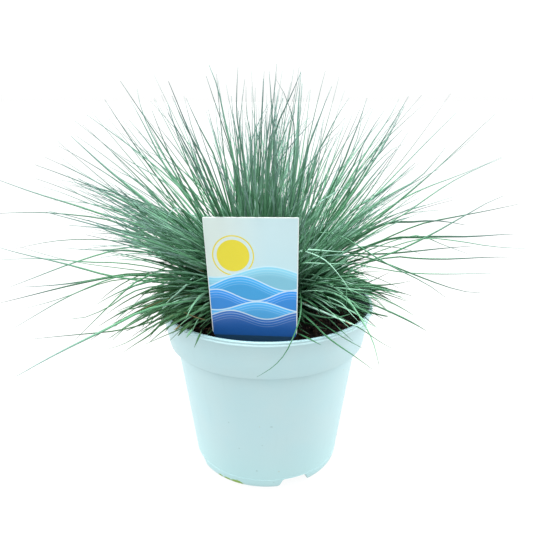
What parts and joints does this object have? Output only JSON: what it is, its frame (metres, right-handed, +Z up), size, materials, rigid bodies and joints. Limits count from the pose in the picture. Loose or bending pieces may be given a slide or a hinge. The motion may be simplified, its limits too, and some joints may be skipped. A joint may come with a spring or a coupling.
{
  "type": "potted blue fescue clump",
  "caption": "Clump of fine blue-green needle leaves fanning out of a tapered plastic nursery pot with soil and a stick-in label.",
  "frame": {"origin": "on the pot's axis, in the plane that its foot stands on", "axes": "+Z up, +X to the right as seen from the label's side, and the label faces -Y"},
  "size_m": [0.4599, 0.3953, 0.3167],
  "materials": {
    "pot": "matte, pale aqua, slightly mottled",
    "soil": "moist peat crumbs and fibres",
    "label": "printed plastic card, half gloss",
    "crown": "dry old leaf bases",
    "leaf": "waxy blue-green leaf"
  },
  "bodies": {
    "root": {"pot": "pot", "potting_soil": "soil", "plant_label": "label", "fescue_crown": "crown", "leaf_tuft_01": "leaf", "leaf_tuft_02": "leaf", "leaf_tuft_03": "leaf", "leaf_tuft_04": "leaf", "leaf_tuft_05": "leaf", "leaf_tuft_06": "leaf", "leaf_tuft_07": "leaf", "leaf_tuft_08": "leaf", "leaf_tuft_09": "leaf", "leaf_tuft_10": "leaf", "leaf_tuft_11": "leaf", "leaf_tuft_12": "leaf", "leaf_tuft_13": "leaf", "leaf_tuft_14": "leaf", "leaf_tuft_15": "leaf", "leaf_tuft_16": "leaf", "leaf_tuft_17": "leaf", "leaf_tuft_18": "leaf", "leaf_tuft_19": "leaf", "leaf_tuft_20": "leaf", "leaf_tuft_21": "leaf", "leaf_tuft_22": "leaf", "leaf_tuft_23": "leaf", "leaf_tuft_24": "leaf", "leaf_tuft_25": "leaf", "leaf_tuft_26": "leaf", "leaf_tuft_27": "leaf", "leaf_tuft_28": "leaf", "leaf_tuft_29": "leaf", "leaf_tuft_30": "leaf", "leaf_tuft_31": "leaf", "leaf_tuft_32": "leaf", "leaf_tuft_33": "leaf", "leaf_tuft_34": "leaf", "leaf_tuft_35": "leaf", "leaf_tuft_36": "leaf", "leaf_tuft_37": "leaf", "leaf_tuft_38": "leaf", "leaf_tuft_39": "leaf", "leaf_tuft_40": "leaf", "leaf_tuft_41": "leaf", "leaf_tuft_42": "leaf", "leaf_tuft_43": "leaf", "leaf_tuft_44": "leaf", "leaf_tuft_45": "leaf", "leaf_tuft_46": "leaf", "leaf_tuft_47": "leaf", "leaf_tuft_48": "leaf", "leaf_tuft_49": "leaf", "leaf_tuft_50": "leaf", "leaf_tuft_51": "leaf", "leaf_tuft_52": "leaf", "leaf_tuft_53": "leaf"}
  },
  "joints": []
}
